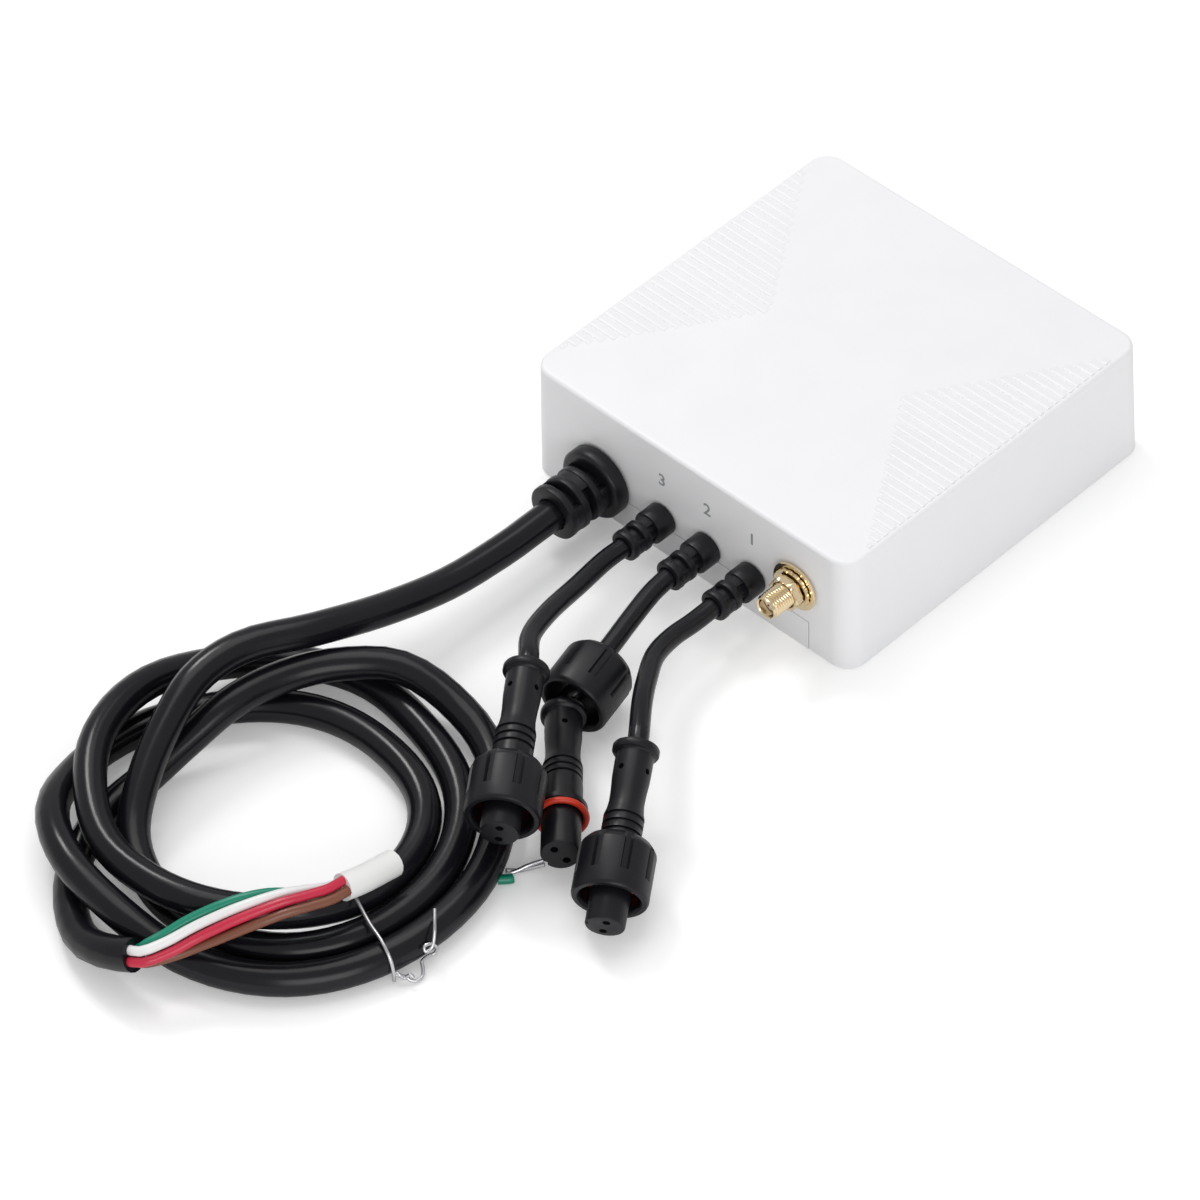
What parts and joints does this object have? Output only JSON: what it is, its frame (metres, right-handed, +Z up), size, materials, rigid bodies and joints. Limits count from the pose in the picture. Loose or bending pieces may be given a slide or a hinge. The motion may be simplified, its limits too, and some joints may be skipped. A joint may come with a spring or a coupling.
{
  "type": "whole house surge protector",
  "caption": "Square white wall box with a coiled mains cable, plug-in sensor leads with screw couplings and a gold aerial jack, for monitoring and surge-protecting a switchboard.",
  "frame": {"origin": "middle of the case's base, on the surface that it lies on", "axes": "+Z up through the case, -Y out of the wall that the cables leave, +X towards the aerial jack"},
  "size_m": [0.1312, 0.2807, 0.033],
  "materials": {
    "white_case": "fine satin moulding",
    "black_nylon": "satin",
    "black_pvc": "soft sheen",
    "gold": "gold plated",
    "steel": "bright",
    "white_insulator": "waxy",
    "red_rubber": "matte",
    "board": "solder mask",
    "varistor": "epoxy",
    "ceramic": "glazed",
    "green_wire": "smooth",
    "white_wire": "smooth",
    "red_wire": "smooth",
    "brown_wire": "smooth"
  },
  "bodies": {
    "root": {"top_cover": "white_case", "base_plate": "white_case", "cover_screw_1": "steel", "cover_screw_2": "steel", "cover_screw_3": "steel", "cover_screw_4": "steel", "main_board": "board", "board_screw_1": "steel", "board_screw_2": "steel", "board_screw_3": "steel", "board_screw_4": "steel", "power_module": "black_nylon", "radio_module": "steel", "meter_chip": "black_nylon", "power_terminal": "white_case", "sensor_header_1": "white_case", "sensor_header_2": "white_case", "sensor_header_3": "white_case", "varistor_1": "varistor", "varistor_2": "varistor", "varistor_3": "varistor", "gas_tube": "ceramic", "fuse": "ceramic", "bulk_capacitor": "black_pvc", "power_gland": "black_nylon", "lead_gland_1": "black_nylon", "lead_gland_2": "black_nylon", "lead_gland_3": "black_nylon", "antenna_jack": "gold", "antenna_insulator": "white_insulator", "antenna_pin": "gold", "antenna_washer": "gold", "antenna_lock_washer": "gold", "antenna_nut": "gold", "power_cable_run": "black_pvc", "power_cable_coil": "black_pvc", "wire_green": "green_wire", "wire_white": "white_wire", "wire_red": "red_wire", "wire_brown": "brown_wire", "end_sleeve": "white_insulator", "coil_tie": "steel", "lead_cable_1": "black_pvc", "lead_cable_2": "black_pvc", "lead_cable_3": "black_pvc", "connector_body_1": "black_nylon", "connector_body_2": "black_nylon", "connector_body_3": "black_nylon", "seal_ring_1": "red_rubber", "seal_ring_2": "red_rubber", "seal_ring_3": "red_rubber", "sensor_tail_1": "black_pvc", "sensor_tail_2": "black_pvc", "sensor_tail_3": "black_pvc", "power_tail": "black_pvc", "antenna_pigtail": "black_pvc"},
    "nut_1": {"coupling_nut_1": "black_nylon"},
    "nut_2": {"coupling_nut_2": "black_nylon"},
    "nut_3": {"coupling_nut_3": "black_nylon"}
  },
  "joints": [
    {"name": "nut_1_spin", "type": "hinge", "parent": "root", "child": "nut_1", "pos_m": [0.0429, -0.111, 0.0186], "axis": [0.5477, -0.7993, -0.2471], "continuous": true},
    {"name": "nut_2_spin", "type": "hinge", "parent": "root", "child": "nut_2", "pos_m": [0.0154, -0.099, 0.0099], "axis": [0.2208, -0.9735, -0.0602], "continuous": true},
    {"name": "nut_3_spin", "type": "hinge", "parent": "root", "child": "nut_3", "pos_m": [0.0113, -0.1134, 0.0236], "axis": [0.5907, -0.795, -0.1377], "continuous": true}
  ]
}
